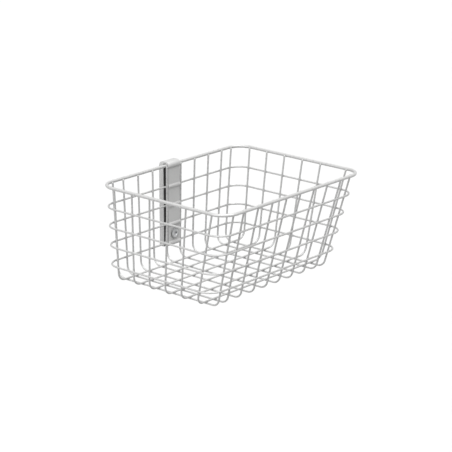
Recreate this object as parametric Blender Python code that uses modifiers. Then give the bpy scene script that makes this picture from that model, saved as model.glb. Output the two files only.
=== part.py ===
"""Welded wire basket for a cart, with the hanger bracket that hooks over its rim.

Metres, +Z up. +X runs along the basket, +Y points to the cart behind it. The origin is the
centre of the bracket's flat rear face, which lies against the cart. Heights are first worked
out from the centre line of the rim, and then set against that face.
"""
import math

import bmesh
import bpy
from mathutils import Vector

# Wires
RIM_WIRE = 0.0040
MESH_WIRE = 0.0023
WELD_GAP = 0.0003

# Basket, over the outside of the rim and down to the lowest wires. A lean is inwards, going down
RIM_LENGTH = 0.2551
RIM_WIDTH = 0.2028
FLOOR_DEPTH = 0.1215
CORNER_RADIUS = 0.0200
BEND_RADIUS = 0.0110
SIDE_LEAN = math.radians(3.8)
FRONT_LEAN = math.radians(15.0)
BACK_LEAN = math.radians(-0.75)
RIM_OUTSIDE_RINGS = 0.0006

# Rings below the rim
RING_COUNT = 4
FIRST_RING_DROP = 0.0267
RING_PITCH = 0.02455

# Cross wires, which run from the back wall under the floor to the front wall
CROSS_COUNT = 10
CROSS_PITCH_TOP = 0.0254
CROSS_PITCH_FLOOR = 0.0234
CROSS_END_INSET_TOP = 0.0182
CROSS_END_INSET_FLOOR = 0.0193

# Long wires, which run from one side wall over the floor to the other
LONG_COUNT = 6
LONG_PITCH_TOP = 0.02885
LONG_PITCH_FLOOR = 0.0254
LONG_BACK_INSET_TOP = 0.0205
LONG_BACK_INSET_FLOOR = 0.01805
LONG_FRONT_INSET_TOP = 0.0216
LONG_FRONT_INSET_FLOOR = 0.0206

# Hanger bracket
FRONT_LEG = 0.0040
REAR_LEG = 0.0073
BEAD_WALL = 0.0025
HOOK_WALL = 0.0025
SLOT_WIDTH = 0.0043
SLOT_BEHIND_RINGS = 0.0055
ARCH_RISE = 0.0047
ARCH_RADIUS = 0.0069
BEAD_FILLET = 0.0010
FRONT_LEG_BELOW_RING = 0.0026
REAR_LEG_BELOW_RING = 0.0055
BRACKET_SIDE_GAP = 0.0002
EDGE_ROUND = 0.0004
SEAT_GAP = 0.0003

# Grip pad
PAD_SIDE_INSET = 0.0003
PAD_BELOW_RIM = 0.0004
PAD_END_INSET = 0.0010
PAD_ROUND = 0.0004

# Clamp screw
SCREW_SHANK = 0.0060
SCREW_LENGTH = 0.0120
SCREW_HEAD = 0.0126
SCREW_HEAD_HEIGHT = 0.0024
SCREW_HEAD_EDGE = 0.0009
SCREW_SOCKET = 0.0040
SCREW_SOCKET_DEPTH = 0.0021
SCREW_TIP_CHAMFER = 0.0007
SCREW_HOLE_CLEARANCE = 0.0006

# Facets
CORNER_STEPS = 8
BEND_STEPS = 6
ARC_STEP = math.radians(15.0)
TURN_STEPS = 32
MERGE = 0.00001

# Finishes: colour, roughness, metallic
COAT = ((0.80, 0.81, 0.81, 1.0), 0.42, 0.0)
BRACKET_COAT = ((0.70, 0.71, 0.71, 1.0), 0.45, 0.0)
PAD_RUBBER = ((0.03, 0.03, 0.03, 1.0), 0.80, 0.0)
SCREW_STEEL = ((0.62, 0.63, 0.64, 1.0), 0.38, 1.0)

# Worked out from the sizes above
LAYER = MESH_WIRE + WELD_GAP
REAR_FACE_FROM_RINGS = SLOT_BEHIND_RINGS + REAR_LEG
LAST_RING_DROP = FIRST_RING_DROP + (RING_COUNT - 1) * RING_PITCH
FRONT_LEG_FOOT = -LAST_RING_DROP - FRONT_LEG_BELOW_RING
REAR_LEG_FOOT = -LAST_RING_DROP - REAR_LEG_BELOW_RING
REAR_FACE_TOP = ARCH_RISE - ARCH_RADIUS
FACE_CENTRE = (REAR_FACE_TOP + REAR_LEG_FOOT) / 2
BACK = -REAR_FACE_FROM_RINGS
SIDE_AT_RIM = RIM_LENGTH / 2 - RIM_WIRE / 2 - RIM_OUTSIDE_RINGS
WIDTH_AT_RIM = RIM_WIDTH - RIM_WIRE - 2 * RIM_OUTSIDE_RINGS
CROSS_FLOOR = -FLOOR_DEPTH
LONG_FLOOR = CROSS_FLOOR + LAYER
SCREW_DROP = LAST_RING_DROP - RING_PITCH / 2
LEG_INNER = SLOT_BEHIND_RINGS - SLOT_WIDTH
LEG_OUTER = LEG_INNER - FRONT_LEG


def blend(start, end, share):
    """Value that goes evenly from start to end."""
    return start + (end - start) * share


def side_at(height):
    """Half length of the ring line at a height under the rim."""
    return SIDE_AT_RIM + math.tan(SIDE_LEAN) * height


def back_at(height):
    """Y of the back wall's ring line at a height under the rim."""
    return BACK + math.tan(BACK_LEAN) * height


def front_at(height):
    """Y of the front wall's ring line at a height under the rim."""
    return BACK - WIDTH_AT_RIM - math.tan(FRONT_LEAN) * height


def ring_height(number):
    """Height of a ring, counted down from the rim, which is number 0."""
    return -(FIRST_RING_DROP + (number - 1) * RING_PITCH) if number else 0.0


def arc(centre, radius, start, end, steps=None):
    """Points of a circle in a plane from one angle to another, both ends included."""
    steps = steps or max(2, math.ceil(abs(end - start) / ARC_STEP))
    angles = [blend(start, end, step / steps) for step in range(steps + 1)]
    return [(centre[0] + radius * math.cos(a), centre[1] + radius * math.sin(a)) for a in angles]


def fillet(before, corner, after, radius, steps):
    """Arc that rounds the corner between two straight runs in a plane."""
    corner = Vector(corner)
    to_before = (Vector(before) - corner).normalized()
    to_after = (Vector(after) - corner).normalized()
    half = to_before.angle(to_after) / 2
    centre = corner + (to_before + to_after).normalized() * (radius / math.sin(half))
    first = corner + to_before * (radius / math.tan(half)) - centre
    last = corner + to_after * (radius / math.tan(half)) - centre
    start = math.atan2(first.y, first.x)
    turn = math.atan2(first.cross(last), first.dot(last))
    return arc(centre, radius, start, start + turn, steps)


def new_collection(name):
    """Collection linked to the scene."""
    collection = bpy.data.collections.new(name)
    bpy.context.scene.collection.children.link(collection)
    return collection


def finish(obj, name, look, collection):
    """Name an object, give it its own material and put it in its collection."""
    obj.name = name
    obj.data.name = name
    colour, roughness, metallic = look
    material = bpy.data.materials.new(name + "_finish")
    material.use_nodes = True
    shader = material.node_tree.nodes["Principled BSDF"]
    shader.inputs["Base Color"].default_value = colour
    shader.inputs["Roughness"].default_value = roughness
    shader.inputs["Metallic"].default_value = metallic
    obj.data.materials.clear()
    obj.data.materials.append(material)
    for other in list(obj.users_collection):
        other.objects.unlink(obj)
    collection.objects.link(obj)
    return obj


def wire(name, points, diameter, closed, look, collection, sides):
    """Round wire along a list of points."""
    curve = bpy.data.curves.new(name, "CURVE")
    curve.dimensions = "3D"
    curve.bevel_depth = diameter / 2
    curve.bevel_resolution = (sides - 4) // 2
    curve.use_fill_caps = not closed
    spline = curve.splines.new("POLY")
    spline.points.add(len(points) - 1)
    for target, point in zip(spline.points, points):
        target.co = (point[0], point[1], point[2] - FACE_CENTRE, 1.0)
    spline.use_cyclic_u = closed
    spline.use_smooth = True
    return finish(bpy.data.objects.new(name, curve), name, look, collection)


def ring_points(height, inset):
    """Rounded rectangle of the walls at one height, drawn inset from the ring line."""
    radius = CORNER_RADIUS - inset
    side = side_at(height) - CORNER_RADIUS
    back = back_at(height) - CORNER_RADIUS
    front = front_at(height) + CORNER_RADIUS
    corners = [(side, back), (-side, back), (-side, front), (side, front)]
    points = []
    for quarter, centre in enumerate(corners):
        start = quarter * math.pi / 2
        points += arc(centre, radius, start, start + math.pi / 2, CORNER_STEPS)
    return [(x, y, height) for x, y in points]


def end_below_rim(lean):
    """How far in from the rim's centre line, and how far under it, a leaning wire ends."""
    axis_in = LAYER / math.cos(lean) + RIM_OUTSIDE_RINGS
    reach = RIM_WIRE / 2 + WELD_GAP
    edge_in = axis_in * math.cos(lean) - MESH_WIRE / 2
    along = math.sqrt(reach ** 2 - edge_in ** 2) - axis_in * math.sin(lean)
    return axis_in + along * math.sin(lean), -along * math.cos(lean)


def hoop_points(near, far, floor):
    """U of a wire in a plane: down one wall, along the floor and up the other wall.

    Each wall is the wire's end under the rim and its place on the wall at floor level.
    """
    near_end, near_foot = near
    far_end, far_foot = far
    first = fillet(near_end, (near_foot, floor), (far_foot, floor), BEND_RADIUS, BEND_STEPS)
    second = fillet((near_foot, floor), (far_foot, floor), far_end, BEND_RADIUS, BEND_STEPS)
    return [near_end] + first + second + [far_end]


def cross_places():
    """X of each cross wire at the rim and at the floor."""
    inner = CROSS_COUNT - 2
    offsets = [step - (inner - 1) / 2 for step in range(inner)]
    top_end = side_at(0.0) - CROSS_END_INSET_TOP
    floor_end = side_at(CROSS_FLOOR) - CROSS_END_INSET_FLOOR
    top = [-top_end] + [o * CROSS_PITCH_TOP for o in offsets] + [top_end]
    floor = [-floor_end] + [o * CROSS_PITCH_FLOOR for o in offsets] + [floor_end]
    return list(zip(top, floor))


def long_places():
    """Y of each long wire at the rim and at the floor."""
    count = LONG_COUNT - 1
    top = [BACK - LONG_BACK_INSET_TOP - step * LONG_PITCH_TOP for step in range(count)]
    floor = [BACK - LONG_BACK_INSET_FLOOR - step * LONG_PITCH_FLOOR for step in range(count)]
    top.append(front_at(0.0) + LONG_FRONT_INSET_TOP)
    floor.append(front_at(LONG_FLOOR) + LONG_FRONT_INSET_FLOOR)
    return list(zip(top, floor))


def add_rim_and_rings(collection):
    """The thick rim and the thin rings under it."""
    rim = ring_points(0.0, -RIM_OUTSIDE_RINGS)
    wire("rim_wire", rim, RIM_WIRE, True, COAT, collection, 12)
    for number in range(1, RING_COUNT + 1):
        points = ring_points(ring_height(number), 0.0)
        wire(f"ring_wire_{number}", points, MESH_WIRE, True, COAT, collection, 8)


def add_cross_wires(collection):
    """U-shaped wires across the basket, inside the rings and lowest on the floor."""
    inset, drop = end_below_rim(BACK_LEAN)
    back_end = (BACK + RIM_OUTSIDE_RINGS - inset, drop)
    inset, drop = end_below_rim(FRONT_LEAN)
    front_end = (front_at(0.0) - RIM_OUTSIDE_RINGS + inset, drop)
    back_foot = back_at(CROSS_FLOOR) - LAYER / math.cos(BACK_LEAN)
    front_foot = front_at(CROSS_FLOOR) + LAYER / math.cos(FRONT_LEAN)
    section = hoop_points((back_end, back_foot), (front_end, front_foot), CROSS_FLOOR)
    for number, (top, floor) in enumerate(cross_places(), 1):
        points = [(blend(top, floor, z / CROSS_FLOOR), y, z) for y, z in section]
        wire(f"cross_wire_{number:02d}", points, MESH_WIRE, False, COAT, collection, 8)


def add_long_wires(collection):
    """U-shaped wires along the basket, inside the rings and on top of the cross wires."""
    inset, drop = end_below_rim(SIDE_LEAN)
    end = side_at(0.0) + RIM_OUTSIDE_RINGS - inset
    foot = side_at(LONG_FLOOR) - LAYER / math.cos(SIDE_LEAN)
    section = hoop_points(((-end, drop), -foot), ((end, drop), foot), LONG_FLOOR)
    for number, (top, floor) in enumerate(long_places(), 1):
        points = [(x, blend(top, floor, z / LONG_FLOOR), z) for x, z in section]
        wire(f"long_wire_{number}", points, MESH_WIRE, False, COAT, collection, 8)


def bead(height, radius):
    """Outer face of a half-round bead over a ring, with a fillet to the flat at each end."""
    reach = radius + BEAD_FILLET
    fillet_y = LEG_OUTER - BEAD_FILLET
    rise = math.sqrt(reach ** 2 - fillet_y ** 2)
    meet = math.atan2(rise, fillet_y)
    lower = arc((fillet_y, height - rise), BEAD_FILLET, 0.0, math.pi - meet)
    crown = arc((0.0, height), radius, 2 * math.pi - meet, meet)
    upper = arc((fillet_y, height + rise), BEAD_FILLET, meet - math.pi, 0.0)
    return lower + crown[1:-1] + upper


def groove(height, radius):
    """Inner face of a bead, from its upper lip round the ring wire to its lower lip."""
    ring_y = back_at(height) - BACK
    lip = math.acos((LEG_INNER - ring_y) / radius)
    return arc((ring_y, height), radius, lip, 2 * math.pi - lip)


def bracket_outline():
    """Side view of the bracket as (y from the ring line, height), once round."""
    heights = [ring_height(number) for number in range(RING_COUNT, 0, -1)]
    groove_radius = MESH_WIRE / 2 + SEAT_GAP
    bead_radius = groove_radius + BEAD_WALL
    hook_radius = RIM_WIRE / 2 + SEAT_GAP
    curl_radius = hook_radius + HOOK_WALL
    rim_y = RIM_OUTSIDE_RINGS
    outline = []

    # Front face, from the foot up over the beads
    outline.append((-math.sqrt(bead_radius ** 2 - FRONT_LEG_BELOW_RING ** 2), FRONT_LEG_FOOT))
    last_bead = bead(heights[0], bead_radius)
    outline += [point for point in last_bead if point[1] > FRONT_LEG_FOOT + BEAD_FILLET / 2]
    for height in heights[1:]:
        outline += bead(height, bead_radius)

    # Curl round the rim, joined by a straight run to the arch over it
    arch = Vector((REAR_FACE_FROM_RINGS - ARCH_RADIUS, REAR_FACE_TOP))
    between = arch - Vector((rim_y, 0.0))
    apart = math.acos((curl_radius - ARCH_RADIUS) / between.length)
    meet = math.atan2(between.y, between.x) + apart
    curl_foot = math.acos((LEG_OUTER - rim_y) / curl_radius)
    outline += arc((rim_y, 0.0), curl_radius, 2 * math.pi - curl_foot, meet)
    outline += arc(arch, ARCH_RADIUS, meet, 0.0)
    outline.append((REAR_FACE_FROM_RINGS, REAR_LEG_FOOT))
    outline.append((SLOT_BEHIND_RINGS, REAR_LEG_FOOT))

    # Slot, from the rear leg round the rim and down the back of the front leg
    outline += arc((SLOT_BEHIND_RINGS - hook_radius, 0.0), hook_radius, 0.0, math.pi / 2)
    hook_lip = math.acos((LEG_INNER - rim_y) / hook_radius)
    outline += arc((rim_y, 0.0), hook_radius, math.pi / 2, 2 * math.pi - hook_lip)
    for height in reversed(heights):
        outline += groove(height, groove_radius)
    outline.append((LEG_INNER, FRONT_LEG_FOOT))
    return outline


def pad_outline():
    """Side view of the pad: a strip that fills the slot, with a groove for each ring wire."""
    front = LEG_INNER + SEAT_GAP
    back = SLOT_BEHIND_RINGS - SEAT_GAP
    top = -RIM_WIRE / 2 - PAD_BELOW_RIM
    foot = REAR_LEG_FOOT + PAD_END_INSET
    radius = MESH_WIRE / 2 + SEAT_GAP
    outline = [(front, foot), (back, foot), (back, top), (front, top)]
    for number in range(1, RING_COUNT + 1):
        height = ring_height(number)
        ring_y = back_at(height) - BACK
        lip = math.acos((front - ring_y) / radius)
        outline += arc((ring_y, height), radius, lip, -lip)
    return outline


def bracket_half_width():
    """Half width that leaves the stated gap to the cross wires beside the front leg's foot."""
    top, floor = cross_places()[CROSS_COUNT // 2]
    beside = blend(top, floor, FRONT_LEG_FOOT / CROSS_FLOOR)
    return beside - MESH_WIRE / 2 - BRACKET_SIDE_GAP


def mesh_from_curve(obj):
    """Mesh copy of a curve object with its caps welded and its flat faces made whole."""
    depsgraph = bpy.context.evaluated_depsgraph_get()
    mesh = bpy.data.meshes.new_from_object(obj.evaluated_get(depsgraph))
    work = bmesh.new()
    work.from_mesh(mesh)
    bmesh.ops.remove_doubles(work, verts=work.verts, dist=MERGE)
    bmesh.ops.dissolve_limit(work, angle_limit=0.001, verts=work.verts, edges=work.edges)
    bmesh.ops.recalc_face_normals(work, faces=work.faces)
    work.to_mesh(mesh)
    work.free()
    solid = bpy.data.objects.new(obj.name + "_solid", mesh)
    solid.matrix_world = obj.matrix_world
    bpy.data.objects.remove(obj)
    return solid


def add_cutter(name, collection, radius, depth, sides):
    """Round or six-sided cutter whose axis is the screw's."""
    mesh = bpy.data.meshes.new(name)
    work = bmesh.new()
    bmesh.ops.create_cone(work, cap_ends=True, segments=sides, radius1=radius, radius2=radius,
                          depth=depth)
    work.to_mesh(mesh)
    work.free()
    cutter = bpy.data.objects.new(name, mesh)
    cutter.rotation_euler = (math.pi / 2, 0.0, 0.0)
    cutter.hide_render = True
    cutter.display_type = "WIRE"
    collection.objects.link(cutter)
    return cutter


def cut(obj, cutter):
    """Take a cutter out of an object."""
    modifier = obj.modifiers.new("cut_" + cutter.name, "BOOLEAN")
    modifier.operation = "DIFFERENCE"
    modifier.solver = "EXACT"
    modifier.object = cutter


def round_edges(obj, width):
    """Small round on every sharp edge."""
    modifier = obj.modifiers.new("edge_round", "BEVEL")
    modifier.width = width
    modifier.segments = 2
    modifier.limit_method = "ANGLE"
    modifier.angle_limit = math.radians(50)


def add_prism(name, outline, half_width, look, collection):
    """Solid with one outline in the side view and straight sides."""
    curve = bpy.data.curves.new(name, "CURVE")
    curve.dimensions = "2D"
    curve.fill_mode = "BOTH"
    curve.extrude = half_width
    spline = curve.splines.new("POLY")
    spline.points.add(len(outline) - 1)
    for target, (y, height) in zip(spline.points, outline):
        target.co = (y + BACK, height - FACE_CENTRE, 0.0, 1.0)
    spline.use_cyclic_u = True
    flat = bpy.data.objects.new(name + "_outline", curve)
    collection.objects.link(flat)
    flat.rotation_euler = (math.pi / 2, 0.0, math.pi / 2)
    bpy.context.view_layer.update()
    return finish(mesh_from_curve(flat), name, look, collection)


def add_bracket(collection, hole):
    """Bracket, as wide as the gap between two cross wires."""
    half_width = bracket_half_width()
    bracket = add_prism("hanger_bracket", bracket_outline(), half_width, BRACKET_COAT, collection)
    cut(bracket, hole)
    round_edges(bracket, EDGE_ROUND)
    bracket.data.shade_smooth()
    bracket.data.set_sharp_from_angle(angle=math.radians(35))


def add_pad(collection, hole):
    """Rubber strip in the slot, between the front leg and the rear leg."""
    half_width = bracket_half_width() - PAD_SIDE_INSET
    pad = add_prism("grip_pad", pad_outline(), half_width, PAD_RUBBER, collection)
    cut(pad, hole)
    round_edges(pad, PAD_ROUND)


def screw_profile():
    """Outline of the screw from the crown of its head to its tip, as (radius, height)."""
    head = SCREW_HEAD / 2
    shank = SCREW_SHANK / 2
    rise = SCREW_HEAD_HEIGHT - SCREW_HEAD_EDGE
    dome = (head ** 2 + rise ** 2) / (2 * rise)
    start = math.asin(head / dome)
    crown = arc((0.0, SCREW_HEAD_HEIGHT - dome), dome, math.pi / 2, math.pi / 2 - start, 6)
    shaft = [(head, 0.0), (shank, 0.0), (shank, SCREW_TIP_CHAMFER - SCREW_LENGTH)]
    tip = [(shank - SCREW_TIP_CHAMFER, -SCREW_LENGTH), (0.0, -SCREW_LENGTH)]
    return crown + shaft + tip


def add_screw(collection, socket, place):
    """Round-headed screw, turned about its own axis, with a six-sided socket."""
    profile = screw_profile()
    mesh = bpy.data.meshes.new("clamp_screw")
    work = bmesh.new()
    points = [work.verts.new((radius, 0.0, height)) for radius, height in profile]
    for one, other in zip(points, points[1:]):
        work.edges.new((one, other))
    work.to_mesh(mesh)
    work.free()
    screw = finish(bpy.data.objects.new("clamp_screw", mesh), "clamp_screw", SCREW_STEEL, collection)
    screw.location = place
    screw.rotation_euler = (math.pi / 2, 0.0, 0.0)
    turn = screw.modifiers.new("turn", "SCREW")
    turn.steps = TURN_STEPS
    turn.render_steps = TURN_STEPS
    turn.use_merge_vertices = True
    turn.merge_threshold = MERGE
    turn.use_smooth_shade = False
    cut(screw, socket)


def main():
    """Build every piece of the basket."""
    for obj in list(bpy.data.objects):
        bpy.data.objects.remove(obj)
    parts = new_collection("cart_basket")
    cutters = new_collection("cutters")

    add_rim_and_rings(parts)
    add_cross_wires(parts)
    add_long_wires(parts)

    screw_height = -SCREW_DROP - FACE_CENTRE
    seat = Vector((0.0, BACK + LEG_OUTER - SEAT_GAP, screw_height))
    hole_radius = (SCREW_SHANK + SCREW_HOLE_CLEARANCE) / 2
    hole = add_cutter("screw_hole", cutters, hole_radius, 4 * REAR_FACE_FROM_RINGS, TURN_STEPS)
    hole.location = (0.0, BACK, screw_height)
    socket_radius = SCREW_SOCKET / math.sqrt(3)
    socket = add_cutter("screw_socket", cutters, socket_radius, 2 * SCREW_SOCKET_DEPTH, 6)
    socket.location = seat - Vector((0.0, SCREW_HEAD_HEIGHT, 0.0))

    add_bracket(parts, hole)
    add_pad(parts, hole)
    add_screw(parts, socket, seat)


main()
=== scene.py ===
"""Looks of the welded wire basket: coated wires, weld beads, hanger bracket, pad and screw.

Every piece is a surface worked out with numpy from the sizes in the sidebar panel, in the row
frame: metres, +X along the basket, +Y towards the cart, +Z up, origin in the bracket's rear face.
"""
import math
from types import SimpleNamespace

import bpy
import numpy as np
from bpy.props import FloatProperty, FloatVectorProperty, IntProperty, PointerProperty
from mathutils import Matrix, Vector


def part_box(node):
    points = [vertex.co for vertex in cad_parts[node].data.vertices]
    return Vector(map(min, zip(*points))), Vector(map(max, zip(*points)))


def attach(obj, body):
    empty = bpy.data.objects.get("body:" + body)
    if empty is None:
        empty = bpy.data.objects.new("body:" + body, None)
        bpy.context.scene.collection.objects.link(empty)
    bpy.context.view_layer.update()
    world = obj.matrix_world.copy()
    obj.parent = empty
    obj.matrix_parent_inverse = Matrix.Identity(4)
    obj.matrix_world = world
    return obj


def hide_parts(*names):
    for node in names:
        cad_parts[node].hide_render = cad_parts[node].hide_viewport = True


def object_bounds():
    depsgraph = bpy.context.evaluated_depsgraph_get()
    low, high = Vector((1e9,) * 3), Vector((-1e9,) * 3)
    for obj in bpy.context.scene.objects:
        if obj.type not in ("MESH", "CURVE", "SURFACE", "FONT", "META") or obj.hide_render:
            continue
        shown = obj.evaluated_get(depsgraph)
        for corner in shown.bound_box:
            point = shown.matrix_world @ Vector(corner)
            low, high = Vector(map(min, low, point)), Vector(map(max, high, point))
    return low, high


bl_info = {
    "name": "Wire basket",
    "version": (1, 0, 0),
    "blender": (4, 5, 0),
    "location": "View3D > Sidebar > Basket",
    "description": "Builds a welded wire basket with its hanger bracket",
    "category": "Add Mesh",
}

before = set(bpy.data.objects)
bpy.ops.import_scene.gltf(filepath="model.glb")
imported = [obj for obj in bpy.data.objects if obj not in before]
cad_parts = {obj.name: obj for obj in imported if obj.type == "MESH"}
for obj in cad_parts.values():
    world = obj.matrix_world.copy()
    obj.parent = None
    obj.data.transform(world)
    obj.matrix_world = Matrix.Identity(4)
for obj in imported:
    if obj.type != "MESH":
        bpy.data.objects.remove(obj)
CAD_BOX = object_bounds()
BODY = "root"
FIT_LIMIT = 0.0008

# Steps round each bend of the wires and each arc of the side views
STEPS = SimpleNamespace(
    least=8, corner=24, bend=20, fillet=6, bead=22, curl=26, arch=22, hook_top=10, hook=24,
    groove=18, pad_groove=16)

# Rounded end of an open wire: the angles of its rows, and its depth in wire radii
END_ANGLES = np.radians([22.5, 45.0, 67.5])
END_DEPTH = 0.35

# Weld beads: a thickness is in wire diameters, a reach in those of the sidebar's weld sizes
BEAD = SimpleNamespace(
    rows=4, sides=12, lobes=4, lobe_depth=0.14, crossing_thickness=0.36, rim_thickness=0.62,
    rim_reach=0.85, tone_reach=1.6)

# Bore through bracket and pad, how far it reaches each way, and the rounding of their edges
BORE_SIDES = 64
BORE_REACH = 0.04
ROUND_SEGMENTS = 3
ROUND_ABOVE = math.radians(50)
SHARP_ABOVE = math.radians(32)
SCREW_SHARP_ABOVE = math.radians(35)

# Screw: the rows of its surface, its smallest forms in metres, and its dirt and painted shade
SCREW = SimpleNamespace(
    sides=96, floor_rows=(0.35, 0.7, 0.96), wall_rows=(0.25, 0.6, 0.9), wall_share=0.92,
    cone=0.0004, wall_foot=(0.995, 0.00006), mouth_lip=0.00012, mouth_mix=0.4, mouth_sink=0.00008,
    dome_rows=14, head_round=0.0004, round_angles=np.radians(np.linspace(30, 90, 5)),
    head_foot=((0.0, 0.00025), (0.00012, 0.00004), (0.0003, 0.0)), neck=0.0002, thread_rows=150,
    thread_start=0.0006, thread_run_in=0.0015, thread_depth=0.00055, thread_slope=1.15,
    # The socket, shank and flank values darken the socket, the hidden shank and the head's foot:
    # dirt and painted shade.
    thread_land=0.08, tip=0.0007, hair=0.0001, socket_grime_and_shade=0.15, shank_grime_and_shade=0.3, flank_grime_and_shade=1.7)

# Finishes: a pattern is (features per metre, detail), and a tone is a factor of the colour
COAT = SimpleNamespace(
    cloud=(45.0, 3.0), cloud_tones=(0.965, 1.03), grain=(2600.0, 2.0), grain_share=0.30,
    grain_tone=1.10, weld_share=0.45, weld_tone=0.86, wear=(500.0, 3.0), wear_range=(0.1, 0.6),
    wear_width=0.0008, wear_tone=1.22, dull=(260.0, 2.0), dull_range=(-0.05, 0.07),
    weld_dull=0.15, peel=(700.0, 2.0), peel_depth=0.00004, fine_peel=(2600.0, 1.0),
    fine_depth=0.00001, wire_gloss=0.8, bracket_gloss=0.5, bracket_duller=0.10)
RUBBER = SimpleNamespace(
    roughness=0.78, gloss=0.20, bloom=(120.0, 4.0), bloom_range=(0.0, 0.5, 0.45, 0.75),
    tones=(0.9, 2.0), dull=(900.0, 2.0), dull_range=(0.70, 0.88), grain=(3200.0, 2.0),
    grain_depth=0.00004)
STEEL = SimpleNamespace(
    roughness=0.34, gloss=0.5, cloud=(700.0, 4.0), tones=(0.82, 1.12), rings=26000.0,
    # Dirt and painted shade: the screw's socket and the foot of its head are darkened towards this
    # tone.
    ring_depth=0.000006, grime_and_shade=(900.0, 3.0), grime_and_shade_range=(0.75, 0.95), grime_and_shade_tone=0.12,
    dull=(1500.0, 2.0), dull_range=(0.28, 0.46), grain=(1400.0, 3.0), grain_depth=0.00002)

PAPER_ROUGHNESS = 0.9
SENSOR_WIDTH = 36.0
VIEW_RANGE = (0.05, 100.0)


def length(name, description, default, **more):
    """Property for a length in metres."""
    return FloatProperty(name=name, description=description, default=default, unit="LENGTH",
                         subtype="DISTANCE", precision=5, **more)


def slope(name, description, degrees):
    """Property for an angle, given in degrees."""
    return FloatProperty(name=name, description=description, default=math.radians(degrees),
                         unit="ROTATION", subtype="ANGLE")


def tint(name, description, default):
    """Property for a colour."""
    return FloatVectorProperty(name=name, description=description, default=default, size=3,
                               subtype="COLOR", min=0.0, max=1.0)


class BasketSizes(bpy.types.PropertyGroup):
    """Sizes of the basket's wires, the same as the solid model's."""

    rim_wire: length("Rim wire", "Diameter of the rim", 0.0040)
    mesh_wire: length("Mesh wire", "Diameter of every other wire", 0.0023)
    weld_gap: length("Weld gap", "Gap that the welds fill", 0.0003)
    rim_length: length("Rim length", "Length over the rim", 0.2551)
    rim_width: length("Rim width", "Width over the rim", 0.2028)
    floor_depth: length("Floor depth", "Rim to the lowest wires, centre to centre", 0.1215)
    corner_radius: length("Corner radius", "Plan radius of the rings' corners", 0.0200)
    bend_radius: length("Bend radius", "Radius where the walls meet the floor", 0.0110)
    side_lean: slope("Side lean", "Lean of the two end walls", 3.8)
    front_lean: slope("Front lean", "Lean of the front wall", 15.0)
    back_lean: slope("Back lean", "Lean of the back wall, slightly outwards", -0.75)
    rim_outside: length("Rim outside rings", "How far the rim lies outside the rings", 0.0006)
    ring_count: IntProperty(name="Rings", description="Rings under the rim", default=4, min=1)
    first_ring: length("First ring", "Rim to the first ring", 0.0267)
    ring_pitch: length("Ring pitch", "Ring to ring", 0.02455)
    cross_count: IntProperty(name="Cross wires", description="Wires across", default=10, min=4)
    cross_pitch_top: length("Cross pitch, top", "Pitch at the rim", 0.0254)
    cross_pitch_floor: length("Cross pitch, floor", "Pitch on the floor", 0.0234)
    cross_inset_top: length("Cross inset, top", "Last cross wire to the end wall", 0.0182)
    cross_inset_floor: length("Cross inset, floor", "The same on the floor", 0.0193)
    long_count: IntProperty(name="Long wires", description="Wires along", default=6, min=2)
    long_pitch_top: length("Long pitch, top", "Pitch at the rim", 0.02885)
    long_pitch_floor: length("Long pitch, floor", "Pitch on the floor", 0.0254)
    long_back_top: length("Back inset, top", "First long wire to the back wall", 0.0205)
    long_back_floor: length("Back inset, floor", "The same on the floor", 0.01805)
    long_front_top: length("Front inset, top", "Last long wire to the front wall", 0.0216)
    long_front_floor: length("Front inset, floor", "The same on the floor", 0.0206)
    weld_swell: length("Weld swell", "How much the coat thickens a wire at a weld", 0.00009)
    weld_reach: length("Weld reach", "Length of that swelling", 0.0022)
    bead_reach: length("Weld bead", "Half length of a weld bead along its wires", 0.00145)
    rim_sides: IntProperty(name="Rim sides", description="Facets round the rim", default=28)
    wire_sides: IntProperty(name="Wire sides", description="Facets round a wire", default=18)
    spacing: length("Spacing", "Distance between points along a wire", 0.0011)


class BracketSizes(bpy.types.PropertyGroup):
    """Sizes of the hanger bracket, its pad and its screw."""

    front_leg: length("Front leg", "Wall of the leg inside the basket", 0.0040)
    rear_leg: length("Rear leg", "Thickness of the leg behind the basket", 0.0073)
    bead_wall: length("Bead wall", "Wall over a ring", 0.0025)
    hook_wall: length("Hook wall", "Wall round the rim", 0.0025)
    slot_width: length("Slot", "Gap between the legs", 0.0043)
    slot_behind: length("Slot behind rings", "Ring centre to the rear leg", 0.0055)
    arch_rise: length("Arch rise", "Top of the arch above the rim's centre", 0.0047)
    arch_radius: length("Arch radius", "Outer radius of the arch", 0.0069)
    bead_fillet: length("Bead fillet", "Fillet beside each bead", 0.0010)
    front_foot: length("Front foot", "Front leg below the last ring", 0.0026)
    rear_foot: length("Rear foot", "Rear leg below the last ring", 0.0055)
    side_gap: length("Side gap", "Bracket to the cross wires beside it", 0.0002)
    seat_gap: length("Seat gap", "Bracket to the wires that it grips", 0.0003)
    edge_round: length("Edge round", "Round on the bracket's edges", 0.0006)
    pad_inset: length("Pad inset", "Pad in from the bracket's sides", 0.0003)
    pad_below_rim: length("Pad below rim", "Rim to the pad", 0.0004)
    pad_end: length("Pad end", "Pad above the rear foot", 0.0010)
    pad_grip: length("Pad grip", "Pad to the ring wires in its grooves", 0.0001)
    shank: length("Shank", "Diameter of the screw", 0.0060)
    screw_length: length("Screw length", "Under the head", 0.0120)
    head: length("Head", "Diameter of the screw's head", 0.0126)
    head_height: length("Head height", "Height of the head", 0.0024)
    head_edge: length("Head edge", "Straight side of the head", 0.0009)
    socket: length("Socket", "Across the flats of the socket", 0.0040)
    socket_depth: length("Socket depth", "Depth of the socket", 0.0021)
    thread_pitch: length("Thread pitch", "Turn to turn", 0.0010)
    hole_clearance: length("Hole clearance", "Hole over the shank", 0.0006)


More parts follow.
